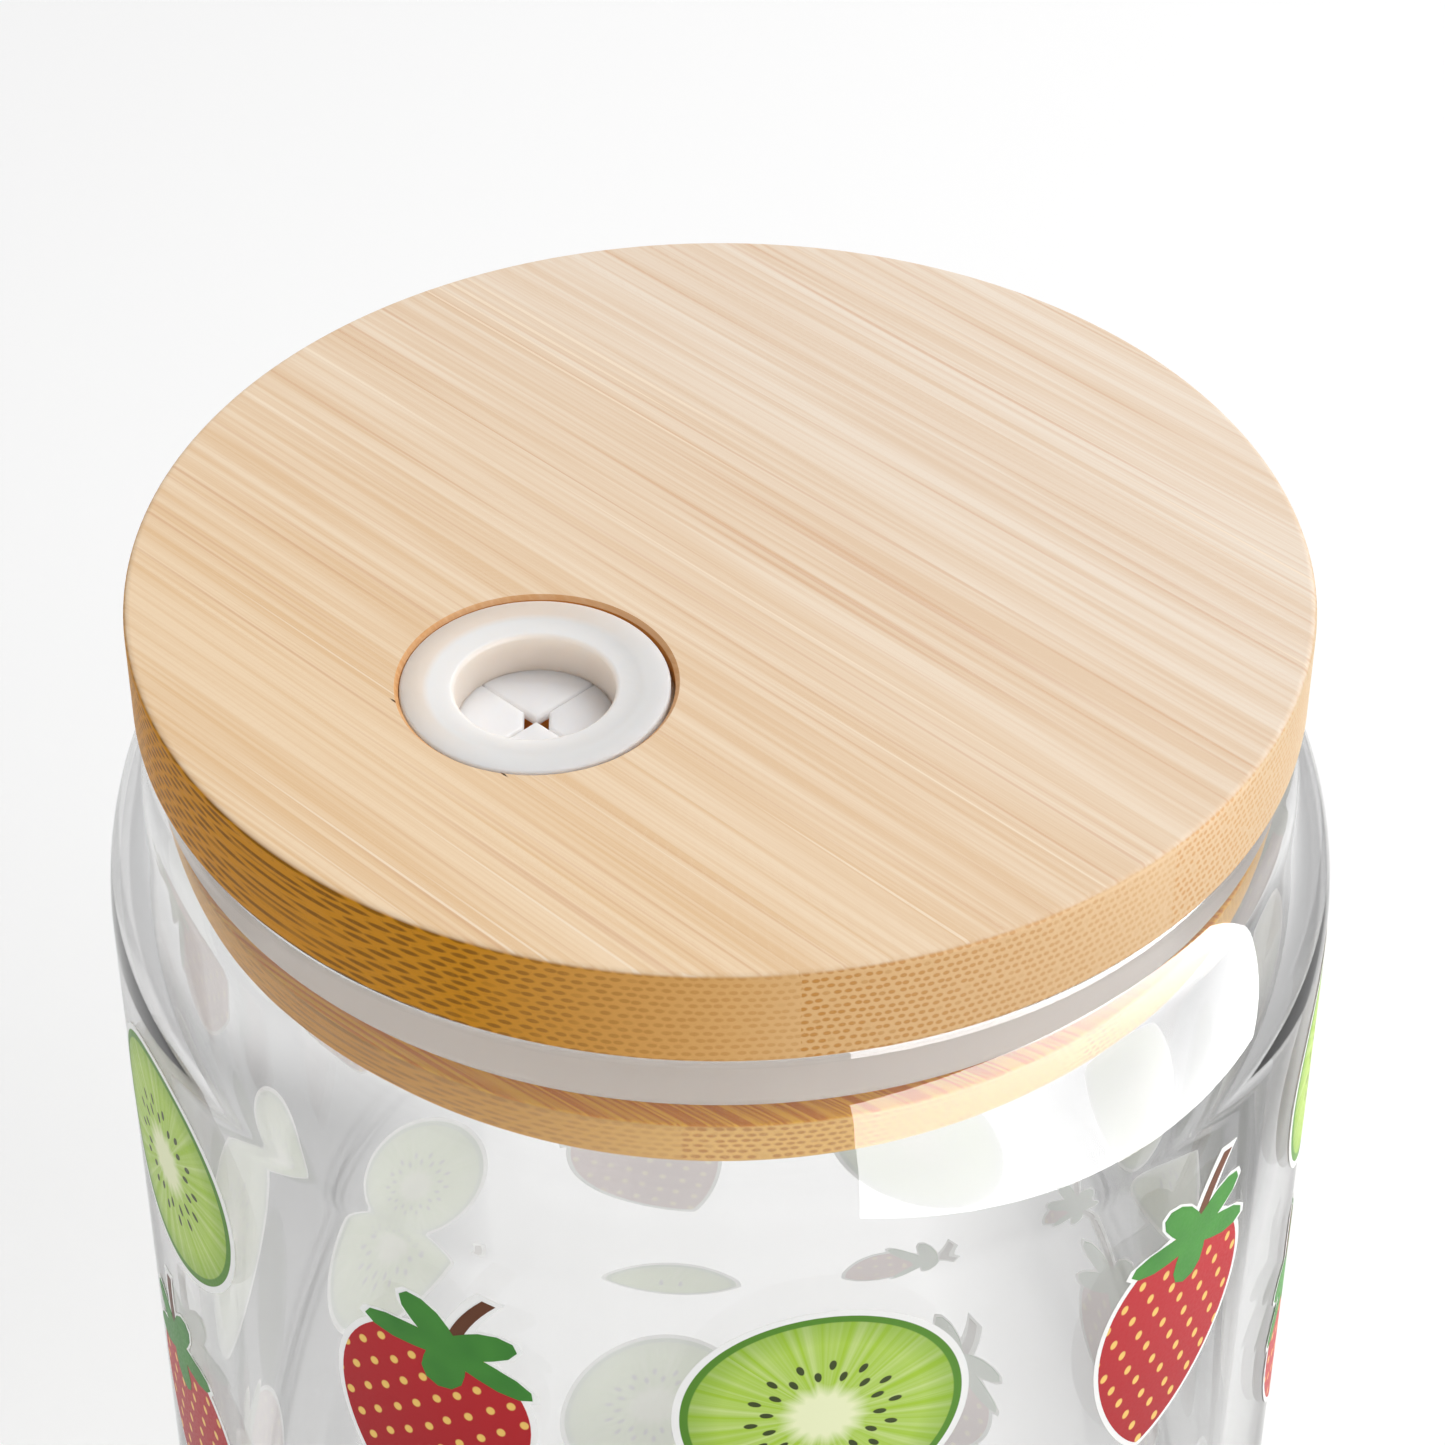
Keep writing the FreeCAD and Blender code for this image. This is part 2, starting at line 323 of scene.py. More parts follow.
def from_port(tree, place):
    """Distance from the straw port's axis."""
    flat = node(tree, "VectorMath", {0: place, 1: (1, 1, 0)}, operation="MULTIPLY").outputs[0]
    return node(tree, "VectorMath", {0: flat, 1: PORT}, operation="DISTANCE").outputs["Value"]


def new_material(name):
    """An empty node material and its tree."""
    material = bpy.data.materials.new(name)
    material.use_nodes = True
    material.node_tree.nodes.clear()
    return material, material.node_tree


def finished(material, shader):
    """Give a material its surface."""
    node(material.node_tree, "OutputMaterial", {"Surface": shader.outputs[0]})
    return material


def satin(material, colour, grit, relief, gloss, more):
    """Finish a material whose fine grit stands in relief and varies its gloss."""
    tree = material.node_tree
    bump = node(tree, "Bump", {"Height": grit, "Distance": relief, "Strength": 1.0}).outputs[0]
    return finished(material, node(tree, "BsdfPrincipled", {
        "Base Color": colour, "Roughness": ramp(tree, grit, 0.3, 0.7, *gloss), "Normal": bump, **more,
    }))


def clear_glass(s):
    """Blown soda-lime glass: clear, hard gloss, faint waves in the reflections, lets lamp light through."""
    material, tree = new_material("soda_lime_glass")
    waves = noise(tree, object_place(tree), 18 * MM, 1.0)
    bump = node(tree, "Bump", {"Height": waves, "Distance": s.ripple, "Strength": 1.0}).outputs[0]
    glass = node(tree, "BsdfPrincipled", {
        "Base Color": s.colour, "Roughness": 0.0, "IOR": 1.5, "Transmission Weight": 1.0, "Normal": bump,
    }).outputs[0]
    clear = node(tree, "BsdfTransparent", {"Color": linear("#FAFAFA")}).outputs[0]
    shadow = node(tree, "LightPath").outputs["Is Shadow Ray"]
    return finished(material, node(tree, "MixShader", {0: shadow, 1: glass, 2: clear}))


def fibre_bundles(tree, s, own, stave, in_disc):
    """Bundles in staggered rows across the grain that run along X: dots, dashes or lines, as the wood is cut."""
    parts = split(tree, own)
    sway = ramp(tree, grain(tree, own, 30 * MM, 7 * MM, 1.0), 0.0, 1.0, -0.5, 0.5)
    height = maths(tree, "MULTIPLY_ADD", parts["Z"], 1 / s.bundle_row, sway)
    row = maths(tree, "FLOOR", height)
    stagger = maths(tree, "MULTIPLY_ADD", row, 0.5, sway)
    pitch = s.bundle_pitch
    per_metre = ramp(tree, in_disc, 0.0, 1.0, 1 / (pitch * s.plug_spread), 1 / pitch)
    width = maths(tree, "MULTIPLY_ADD", parts["Y"], per_metre, stagger)
    column = maths(tree, "FLOOR", width)
    chance = node(tree, "TexWhiteNoise", {"Vector": joined(tree, column, row, stave)}).outputs
    luck = split(tree, chance["Color"])
    offsets = []
    for along, slot, wobble, half, axis in (
        (width, column, 0.30, s.bundle_width / pitch / 2, "X"),
        (height, row, 0.16, s.bundle_height / s.bundle_row / 2, "Y"),
    ):
        middle = ramp(tree, luck[axis], 0.0, 1.0, 0.5 - wobble / 2, 0.5 + wobble / 2)
        off = maths(tree, "SUBTRACT", maths(tree, "SUBTRACT", along, slot), middle)
        offsets.append(maths(tree, "DIVIDE", off, half))
    dot = ramp(tree, span(tree, joined(tree, *offsets)), 0.6, 1.15, 1.0, 0.0, "SMOOTHSTEP")
    run_length, runs_apart = 6 * MM, 90.0
    along = maths(tree, "MULTIPLY", parts["X"], 1 / run_length)
    run = joined(tree, along, maths(tree, "MULTIPLY", chance["Value"], runs_apart))
    present = ramp(tree, noise(tree, run, 1.0, 1.0), 0.24, 0.42, 0.1, 1.0)
    return maths(tree, "MULTIPLY", dot, present)


def bamboo(s):
    """Planed and sealed bamboo strips: satin, straight streaks on the faces, rows of fibre bundles on cut edges."""
    material, tree = new_material("laminated_bamboo")
    place = object_place(tree)
    stave, skin_side = [
        node(tree, "Attribute", attribute_name=name).outputs["Fac"] for name in ("stave", "across")
    ]
    shift = node(tree, "TexWhiteNoise", {"W": stave}, noise_dimensions="1D").outputs["Color"]
    apart = node(tree, "VectorMath", {0: shift, "Scale": 80 * MM}, operation="SCALE").outputs[0]
    own = node(tree, "VectorMath", {0: place, 1: apart}, operation="ADD").outputs[0]
    spot = split(tree, place)
    in_disc = maths(tree, "GREATER_THAN", spot["Z"], DISC_LOW.z - 0.05 * MM)

    # The first stave is dark close under its skin. Towards the last stave the tones turn paler and greyer, a
    # painted sheen that stands in for the lamps' gloss on that side.
    near_skin = ramp(tree, spot["Y"], s.skin_start - s.disc_radius, s.skin_depth - s.disc_radius, 1.0, 0.0)
    far = ramp(tree, spot["Y"], -0.7 * s.disc_radius, 0.5 * s.disc_radius)
    face_dark, face_light, ground, bundle = [
        mixed(tree, far, first, last) for first, last in (
            (s.face_dark, s.far_sheen_dark), (s.face_light, s.far_sheen_light),
            (s.edge_ground, s.far_sheen_ground), (s.edge_bundle, s.far_sheen_bundle),
        )
    ]
    ground = mixed(tree, in_disc, s.plug_ground, ground)
    bundle = mixed(tree, in_disc, s.plug_bundle, bundle)

    # Straight streaks of the planed faces: fine, middling and broad ones, and thin brown and whitish lines
    fine = streaks = grain(tree, own, 26 * MM, s.streak_width, 2.0)
    for reach, size, share in ((45, 4 * s.streak_width, 0.5), (90, 6 * MM, 0.25)):
        band = grain(tree, own, reach * MM, size, 2.0)
        streaks = node(tree, "Mix", {"Factor": share, 2: streaks, 3: band}).outputs[0]
    face = mixed(tree, ramp(tree, streaks, 0.41, 0.59), face_dark, face_light)
    # Painted light: the plug's lip gets the grain's streaks in brighter, more saturated tones than the wood has.
    painted_lit_ledge = mixed(tree, ramp(tree, fine, 0.42, 0.58), s.ledge_dark_painted_lit, s.ledge_pale_painted_lit)
    for reach, low, high, strength, tone in (
        (48, 0.66, 0.78, 0.5, s.face_vein), (75, 0.76, 0.80, 0.7, s.face_pale),
    ):
        vein = grain(tree, own, reach * MM, 0.4 * MM, 0.0, reach)
        face = mixed(tree, ramp(tree, vein, low, high, 0.0, strength), face, tone)

    # Bundles are dark on the side of a stave that was the stem's skin, and fade to its other side.
    bundles = fibre_bundles(tree, s, own, stave, in_disc)
    marked = maths(tree, "MULTIPLY", bundles, ramp(tree, skin_side, 0.0, 1.0, 1.0, 0.4))
    deep = maths(tree, "POWER", near_skin, 2.0)
    edge_ground = mixed(tree, near_skin, ground, s.skin_ground)
    colour = mixed(tree, marked, edge_ground, mixed(tree, deep, bundle, s.skin_bundle))

    # Only the disc's top and underside are sanded pale. The plug's level faces get brighter, more saturated streaks
    # than the wood has, painted light for the light that the disc's overhang and the seal keep off them. The port's
    # cut walls turn amber, partly the cut wood's colour and partly painted light in the narrow bore.
    normal = split(tree, node(tree, "NewGeometry").outputs["Normal"])
    level = ramp(tree, maths(tree, "ABSOLUTE", normal["Z"]), 0.5, 0.9, curve="SMOOTHSTEP")
    on_face = maths(tree, "MULTIPLY", level, in_disc)
    on_painted_lit_ledge = maths(tree, "SUBTRACT", level, on_face)
    # Painted light in part: cut walls near the port take the amber bore tone, so they look lit though the bore
    # shades them.
    by_port = ramp(tree, from_port(tree, place), s.bore_zone, s.bore_zone + 0.3 * MM, 0.8, 0.0)
    on_painted_lit_wall = maths(tree, "MULTIPLY", by_port, maths(tree, "SUBTRACT", 1.0, level))
    for where, tone in ((on_face, face), (on_painted_lit_ledge, painted_lit_ledge), (on_painted_lit_wall, s.bore)):
        colour = mixed(tree, where, colour, tone)
    return satin(material, colour, fine, 0.02 * MM, (0.36, 0.5), {"IOR": 1.5, "Specular IOR Level": 0.1})


def seal_silicone(s):
    """Moulded silicone: matte and waxy, light glows a little way into it, with a fine bloom on the skin."""
    material, tree = new_material("moulded_silicone")
    bloom = noise(tree, object_place(tree), 0.4 * MM, 3.0)
    return satin(material, s.colour, bloom, 0.002 * MM, (0.42, 0.55), {
        "IOR": 1.41, "Subsurface Weight": 0.5, "Subsurface Radius": (1.0, 0.9, 0.8), "Subsurface Scale": 1.2 * MM,
    })


def port_silicone(s):
    """Clear-white silicone: cloudy and soft, so bamboo tints it where the flange lies thin on the wood, but only on
    its -X side, which is painted light. The cup's wall and the petals get lighter, warmer tones, also painted
    light.
    """
    material, tree = new_material("cloudy_silicone")
    place = object_place(tree)
    radius = from_port(tree, place)
    blur = 0.25 * MM
    thin = ramp(tree, radius, s.sleeve_radius - blur, s.sleeve_radius + blur, curve="SMOOTHSTEP")
    # Painted light: the bamboo tint is kept to the -X side, away from the lamps, as light shining through the
    # flange would show it there.
    painted_glow_side = ramp(tree, split(tree, place)["X"], 4 * MM, -6 * MM, curve="SMOOTHSTEP")
    # Painted light: the cup's wall and the petals take lighter, warmer tones than the thick silicone.
    wall, petals = [
        ramp(tree, radius, s.cup_radius + start * MM, s.cup_radius + stop * MM, 1.0, 0.0, "SMOOTHSTEP")
        for start, stop in ((0.02, 0.3), (-0.25, -0.05))
    ]
    colour = mixed(tree, maths(tree, "MULTIPLY", thin, painted_glow_side), s.colour, s.thin_colour)
    colour = mixed(tree, wall, colour, s.wall_painted_lit_colour)
    colour = mixed(tree, petals, colour, s.petal_painted_lit_colour)
    bloom = noise(tree, place, 0.5 * MM, 3.0)
    return satin(material, colour, bloom, 0.005 * MM, (0.3, 0.42), {
        "IOR": 1.41, "Subsurface Weight": 1.0, "Subsurface Radius": (1.0, 0.9, 0.8), "Subsurface Scale": 2.2 * MM,
    })


def printed_ink(name, colours, ground, pale):
    """Fired enamel print: flat colour with a soft gloss. The white ground pales its back, seen through the wall."""
    material, tree = new_material(name)
    spot = node(tree, "Attribute", attribute_name="motif").outputs["Vector"]
    colour = colours(tree, spot)
    if pale:
        colour = mixed(tree, pale, colour, ground)
    grit = noise(tree, spot, 0.25 * MM, 2.0)
    return satin(material, colour, grit, 0.003 * MM, (0.3, 0.42), {"IOR": 1.5, "Specular IOR Level": 0.15})


def slice_colours(s):
    """Rings of a round slice: white ground, skin, streaked flesh, two rings of seeds and a pale core."""
    outside = s.slice_radius - s.margin
    lobes, lobe_height = 14.0, 0.16 * MM
    seeds, seed_width, seed_height = 14, 0.22 * MM, 0.42 * MM

    def colours(tree, spot):
        parts = split(tree, spot)
        radius = span(tree, spot)
        bearing = maths(tree, "ARCTAN2", parts["Y"], parts["X"])
        scallop = maths(tree, "COSINE", maths(tree, "MULTIPLY", bearing, lobes))
        waved = maths(tree, "MULTIPLY_ADD", scallop, lobe_height, radius)
        rays = node(tree, "TexNoise", {"Vector": joined(tree, bearing, 0.0), "Scale": 9.0, "Detail": 3.0})
        colour = mixed(tree, ramp(tree, rays.outputs[0], 0.4, 0.7, 0.0, 0.45), s.flesh, s.core)
        for start, stop, tone, strength in (
            (0.72 * outside, 0.94 * outside, s.skin, 0.35),
            (0.935 * outside, 0.945 * outside, s.skin, 1.0),
            (outside - 0.02 * MM, outside + 0.02 * MM, s.ground, 1.0),
        ):
            colour = mixed(tree, ramp(tree, radius, start, stop, 0.0, strength), colour, tone)
        colour = mixed(tree, ramp(tree, waved, 0.20 * outside, 0.33 * outside, 1.0, 0.0), colour, s.core)
        for ring, shift in ((0.40 * outside, 0.0), (0.51 * outside, 0.5)):
            turned = maths(tree, "MULTIPLY_ADD", bearing, seeds / (2 * math.pi), shift + seeds)
            half = math.pi * ring / seeds
            side = ramp(tree, maths(tree, "FRACT", turned), 0.0, 1.0, -half, half)
            wide = maths(tree, "DIVIDE", side, seed_width)
            tall = maths(tree, "DIVIDE", maths(tree, "SUBTRACT", radius, ring), seed_height)
            seed = ramp(tree, span(tree, joined(tree, wide, tall)), 0.85, 1.05, 1.0, 0.0)
            colour = mixed(tree, seed, colour, s.seed)
        return colour
    return colours


def berry_colours(s):
    """Red that deepens to the tip, with rows of pale specks."""
    def colours(tree, spot):
        deep = ramp(tree, split(tree, spot)["Y"], -s.berry_height, s.berry_height, 0.55, 0.0)
        colour = mixed(tree, deep, s.red, linear("#8E1219"))
        grid = node(tree, "Mapping", {
            0: spot, "Scale": (1.25, 1.0, 0.0), "Rotation": (0, 0, math.radians(45)),
        }).outputs[0]
        specks = node(tree, "TexVoronoi", {
            "Vector": grid, "Scale": 1 / (1.9 * MM), "Randomness": 0.12,
        }, voronoi_dimensions="2D").outputs["Distance"]
        return mixed(tree, ramp(tree, specks, 0.15, 0.2, 1.0, 0.0), colour, s.speck)
    return colours


def mottled(tone, other):
    """One printed colour with a soft shade across it."""
    def colours(tree, spot):
        return mixed(tree, noise(tree, spot, 3 * MM, 1.0), tone, other)
    return colours


def alone(piece=None):
    """Select one piece only, or nothing."""
    bpy.ops.object.select_all(action="DESELECT")
    if piece:
        piece.select_set(True)
        bpy.context.view_layer.objects.active = piece


def named(name):
    """Name the active object and its data."""
    piece = bpy.context.active_object
    piece.name = piece.data.name = name
    return piece


def merged(pieces):
    """Join pieces into the first of them."""
    alone(pieces[0])
    for piece in pieces:
        piece.select_set(True)
    bpy.ops.object.join()
    return pieces[0]


def edit_all():
    """Enter edit mode with everything selected."""
    bpy.ops.object.mode_set(mode="EDIT")
    bpy.ops.mesh.select_all(action="SELECT")


def leave():
    """Leave edit mode."""
    bpy.ops.object.mode_set(mode="OBJECT")


def drawn(name, points):
    """A chain of edges through the points, left in edit mode and all selected."""
    alone()
    bpy.ops.mesh.primitive_plane_add(size=MM)
    piece = named(name)
    edit_all()
    bpy.ops.mesh.merge(type="CENTER")
    bpy.ops.transform.translate(value=points[0])
    for start, stop in zip(points, points[1:]):
        bpy.ops.mesh.extrude_vertices_move(TRANSFORM_OT_translate={"value": stop - start})
    bpy.ops.mesh.select_all(action="SELECT")
    return piece


def slab(name, outline, push):
    """A filled outline pushed out to a slab, left in edit mode with the pushed face selected."""
    piece = drawn(name, outline + outline[:1])
    bpy.ops.mesh.remove_doubles(threshold=MERGE)
    bpy.ops.mesh.edge_face_add()
    bpy.ops.mesh.extrude_region_move(TRANSFORM_OT_translate={"value": push})
    return piece


def sliced(places):
    """Add edges across X at each place, in edit mode."""
    for x in places:
        bpy.ops.mesh.select_all(action="SELECT")
        bpy.ops.mesh.bisect(plane_co=(x, 0, 0), plane_no=(1, 0, 0))


def rotate(axis, angle):
    """Turn what is selected about an axis through the origin, in edit mode."""
    bpy.ops.transform.rotate(value=angle, orient_axis=axis, center_override=(0, 0, 0))


def closed_up():
    """Merge doubles and turn the faces outwards, in edit mode."""
    bpy.ops.mesh.select_all(action="SELECT")
    bpy.ops.mesh.remove_doubles(threshold=MERGE)
    bpy.ops.mesh.normals_make_consistent(inside=False)


def around(count):
    """Even angles round a circle."""
    return [2 * math.pi * i / count for i in range(count)]


class Section:
    """Half section of a turned piece, drawn from point to point in radius and height."""

    def __init__(self, r, z):
        self.points = [(r, z)]

    def line(self, r, z):
        if math.dist(self.points[-1], (r, z)) > SAME_POINT:
            self.points.append((r, z))
        return self

    def arc(self, r, z, radius, start, stop, steps):
        for step in range(steps + 1):
            angle = math.radians(start + (stop - start) * step / steps)
            self.line(r + radius * math.cos(angle), z + radius * math.sin(angle))
        return self

    def rim(self, radius, low, high, edge, steps):
        """An upright outside with rounded edges."""
        self.arc(radius - edge, low + edge, edge, -90, 0, steps)
        return self.arc(radius - edge, high - edge, edge, 0, 90, steps)

    def turned(self, name, axis=Vector(), steps=224):
        piece = drawn(name, [axis + Vector((r, 0, z)) for r, z in self.points])
        bpy.ops.mesh.spin(steps=steps, angle=2 * math.pi, center=axis, axis=(0, 0, 1))
        closed_up()
        leave()
        return piece


def apply_modifier(piece, kind, **settings):
    """Put one modifier on a piece and apply it."""
    alone(piece)
    modifier = piece.modifiers.new(kind.title(), kind)
    for key, value in settings.items():
        setattr(modifier, key, value)
    bpy.ops.object.modifier_apply(modifier=modifier.name)


def dressed(piece, materials, body, replaced=(), smooth=40.0):
    """Shade a finished piece, give it its materials and tie it to the body it rides on."""
    alone(piece)
    bpy.ops.object.shade_smooth_by_angle(angle=math.radians(smooth))
    for material in materials:
        piece.data.materials.append(material)
    if body:
        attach(piece, body)
    if replaced:
        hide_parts(*replaced)


class GLASS_OT_body(bpy.types.Operator):
    """Turn the glass body with its heel, shoulder, neck and fire-polished rim"""

    bl_idname = "drinking_glass.body"
    bl_label = "Glass body"

    def execute(self, context):
        s = context.scene.glass_sizes
        neck = s.body_radius - s.shoulder_inset
        mouth = neck - s.wall
        lip = s.wall / 2
        reach = s.shoulder_radius + s.neck_fillet
        rise = math.sqrt(reach ** 2 - (reach - s.shoulder_inset) ** 2)
        tilt = math.degrees(math.atan2(rise, reach - s.shoulder_inset))
        neck_z = s.height - lip - s.neck_straight
        shoulder = s.body_radius - s.shoulder_radius, neck_z - rise
        fillet = neck + s.neck_fillet, neck_z
        bend = math.degrees(s.heel_turn)
        heel_over_foot = s.heel_radius - s.foot_round
        heel = s.body_radius - s.heel_radius, s.foot_round + heel_over_foot * math.sin(s.heel_turn)
        land = heel[0] + heel_over_foot * math.cos(s.heel_turn) - s.foot_land
        punt = (land ** 2 + s.punt_depth ** 2) / (2 * s.punt_depth)
        punt_edge = math.degrees(math.atan2(punt - s.punt_depth, land))
        inner_heel = s.body_radius - s.wall - s.inner_heel, s.floor + s.inner_heel
        section = Section(0, s.punt_depth)
        section.arc(0, s.punt_depth - punt, punt, 90, punt_edge, 8)
        section.arc(land + s.foot_land, s.foot_round, s.foot_round, -90, -bend, 8)
        section.arc(*heel, s.heel_radius, -bend, 0, 20)
        section.arc(*shoulder, s.shoulder_radius, 0, tilt, 28)
        section.arc(*fillet, s.neck_fillet, 180 + tilt, 180, 14)
        section.arc(mouth + lip, s.height - lip, lip, 0, 180, 20)
        section.arc(*fillet, s.neck_fillet + s.wall, 180, 180 + tilt, 14)
        section.arc(*shoulder, s.shoulder_radius - s.wall, tilt, 0, 28)
        section.arc(*inner_heel, s.inner_heel, 0, -90, 20)
        section.line(0, s.floor)
        piece = section.turned("glass", steps=288)
        dressed(piece, [clear_glass(s)], "glass", ["glass_body"])
        return {"FINISHED"}


def port_cutter(s):
    """What is bored out of the lid: a counterbore with a broken edge over a through bore."""
    shelf = GROMMET_HIGH.z - s.flange_thickness
    below = PLUG_LOW.z - 5 * MM
    edge = s.counterbore_break
    section = Section(0, below).line(s.bore_radius, below).line(s.bore_radius, shelf)
    section.line(s.counterbore_radius, shelf).line(s.counterbore_radius, DISC_HIGH.z - edge)
    section.line(s.counterbore_radius + 2 * edge, DISC_HIGH.z + edge).line(0, DISC_HIGH.z + edge)
    return section.turned("port_cutter", PORT + Vector((0, s.counterbore_shift, 0)), 128)


def cut_staves(board, prefix, material, s):
    """Bore a turned board for the port, cut it at its glue lines and dress each stave."""
    cutter = port_cutter(s)
    apply_modifier(board, "BOOLEAN", operation="DIFFERENCE", solver="EXACT", object=cutter)
    inner_low, inner_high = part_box(f"{prefix}_3")
    width = inner_high.y - inner_low.y
    for number in STAVES:
        low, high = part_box(f"{prefix}_{number}")
        alone(board)
        bpy.ops.object.duplicate()
        stave = named(f"bamboo_{prefix}_{number}")
        edit_all()
        for joint, side in ((low.y, number > STAVES[0]), (high.y, number < STAVES[-1])):
            if side:
                bpy.ops.mesh.select_all(action="SELECT")
                bpy.ops.mesh.bisect(
                    plane_co=(0, joint, 0), plane_no=(0, 1, 0), use_fill=True,
                    clear_inner=joint == low.y, clear_outer=joint == high.y,
                )
        closed_up()
        leave()
        code = number + (0.5 if "plug" in prefix else 0.0)
        skin_side = high.y - width if number == STAVES[0] else low.y
        places = [(vertex.co.y - skin_side) / width for vertex in stave.data.vertices]
        for name, values in (("stave", [code] * len(places)), ("across", places)):
            stave.data.attributes.new(name, "FLOAT", "POINT").data.foreach_set("value", values)
        dressed(stave, [material], "lid", [f"{prefix}_{number}"], 30)
    alone(board)
    cutter.select_set(True)
    bpy.ops.object.delete()


class GLASS_OT_lid(bpy.types.Operator):
    """Turn the lid's disc and plug, bore them for the straw port and cut them into staves"""

    bl_idname = "drinking_glass.lid"
    bl_label = "Bamboo lid"

    def execute(self, context):
        s = context.scene.lid_sizes
        material = bamboo(s)
        support = 0.06 * MM
        flat = s.disc_radius - s.disc_edge - support
        disc = Section(0, DISC_LOW.z).line(flat, DISC_LOW.z)
        disc.rim(s.disc_radius, DISC_LOW.z, DISC_HIGH.z, s.disc_edge, 6)
        disc.line(flat, DISC_HIGH.z).line(0, DISC_HIGH.z)
        cut_staves(disc.turned("disc_board"), "lid_disc_stave", material, context.scene.port_sizes)

        lip_top = PLUG_LOW.z + s.flange_thickness
        flat = s.flange_radius - s.flange_edge - support
        plug = Section(0, PLUG_LOW.z).line(flat, PLUG_LOW.z)
        plug.rim(s.flange_radius, PLUG_LOW.z, lip_top, s.flange_edge, 5)
        plug.line(flat, lip_top).line(s.neck_radius, lip_top)
        plug.line(s.neck_radius, PLUG_HIGH.z).line(0, PLUG_HIGH.z)
        cut_staves(plug.turned("plug_board"), "lid_plug_stave", material, context.scene.port_sizes)
        return {"FINISHED"}


class GLASS_OT_seal(bpy.types.Operator):
    """Turn the silicone ring that seals the plug in the mouth"""

    bl_idname = "drinking_glass.seal"
    bl_label = "Seal ring"

    def execute(self, context):
        s = context.scene.seal_sizes
        inner = s.outer - s.section
        small = 0.25 * MM
        ring = Section(inner + small, SEAL_LOW.z)
        ring.rim(s.outer, SEAL_LOW.z, SEAL_HIGH.z, s.edge, 10)
        ring.arc(inner + small, SEAL_HIGH.z - small, small, 90, 180, 4)
        ring.arc(inner + small, SEAL_LOW.z + small, small, 180, 270, 4)
        dressed(ring.turned("seal"), [seal_silicone(s)], "seal", ["seal_ring"])
        return {"FINISHED"}


def petal(s, number, tip, material):
    """A quarter of the cup's floor with soft edges, drawn pointing along +X and turned to its place."""
    overlap, steps = 0.02 * MM, 18
    first_cut, cut_pitch = 0.4 * MM, 0.25 * MM
    half_slit = s.slit / math.sqrt(2)
    wall = s.cup_radius + overlap
    arc = math.pi / 4 - math.asin(half_slit * math.sqrt(0.5) / wall)
    corners = (1, -1) if tip > s.petal_edge else (0,)
    points = [Vector((tip, corner * (half_slit - tip), PETAL_LOW.z)) for corner in corners]
    for step in range(steps + 1):
        angle = arc - 2 * arc * step / steps
        points.append(Vector((wall * math.cos(angle), wall * math.sin(angle), PETAL_LOW.z)))
    piece = slab(f"petal_{number}", points, (0, 0, PETAL_HIGH.z - PETAL_LOW.z))
    bpy.ops.mesh.region_to_loop()
    bpy.ops.mesh.bevel(offset=s.petal_edge, segments=6, profile=0.5, affect="EDGES")
    closed_up()
    cuts = 1 + int((s.cup_radius - first_cut) / cut_pitch)
    sliced(first_cut + cut_pitch * cut for cut in range(cuts))
    closed_up()
    angle = math.radians(90 * number - 45)
    rotate("Z", -angle)
    bpy.ops.transform.translate(value=PORT)
    leave()
    dressed(piece, [material], None, [f"straw_petal_{number}"])
    piece.visible_shadow = False  # cloudy silicone lets some light into the bore
    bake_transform(piece)


class GLASS_OT_port(bpy.types.Operator):
    """Turn the grommet and cut its four petals"""

    bl_idname = "drinking_glass.port"
    bl_label = "Straw port"

    def execute(self, context):
        s = context.scene.port_sizes
        material = port_silicone(s)
        top = GROMMET_HIGH.z
        shelf = top - s.flange_thickness
        cup_edge = top - s.dish_drop
        floor, under = PETAL_HIGH.z, PETAL_LOW.z
        small = 0.12 * MM
        step_outer, step_inner, step_drop = s.sleeve_radius + 0.1 * MM, s.sleeve_radius - 0.15 * MM, 0.1 * MM
        support = 0.1 * MM
        bush = Section(s.chamber_radius, under)
        bush.line(s.chamber_radius, GROMMET_LOW.z + small)
        bush.arc(s.chamber_radius + small, GROMMET_LOW.z + small, small, 180, 270, 3)
        bush.arc(s.sleeve_radius - small, GROMMET_LOW.z + small, small, -90, 0, 3)
        bush.line(s.sleeve_radius, shelf)
        bush.arc(s.flange_radius - small, shelf + small, small, -90, 0, 3)
        bush.arc(s.flange_radius - s.flange_edge, top - s.flange_edge, s.flange_edge, 0, 90, 8)
        bush.line(step_outer, top).line(step_inner, top - step_drop)
        bush.arc(s.cup_radius + s.cup_lip, cup_edge - s.cup_lip, s.cup_lip, 90, 180, 10)
        bush.line(s.cup_radius, floor - support).line(s.cup_radius, under)
        bush.line(s.chamber_radius, under)
        dressed(bush.turned("grommet", PORT, 160), [material], "grommet", ["straw_grommet"])
        for number in PETALS:
            petal(s, number, s.blunt_tip if number % 2 else s.sharp_tip, material)
        return {"FINISHED"}


def enamels(s):
    """Front and back inks of each motif, in the order of its material numbers."""
    slices, berries = slice_colours(s), berry_colours(s)
    leaf, stem = mottled(s.leaf, linear("#2F7029")), mottled(s.stem, linear("#54301D"))
    ground = mottled(s.ground, linear("#FAFAF9"))
    table = {
        "slices": (("slice_enamel", slices),),
        "berries": (
            ("white_enamel", ground), ("red_enamel", berries), ("green_enamel", leaf), ("brown_enamel", stem),
        ),
    }
    return {
        kind: [
            printed_ink(name + side, colours, s.back, pale)
            for name, colours in rows for side, pale in (("", 0.0), ("_back", 0.8))
        ]
        for kind, rows in table.items()
    }


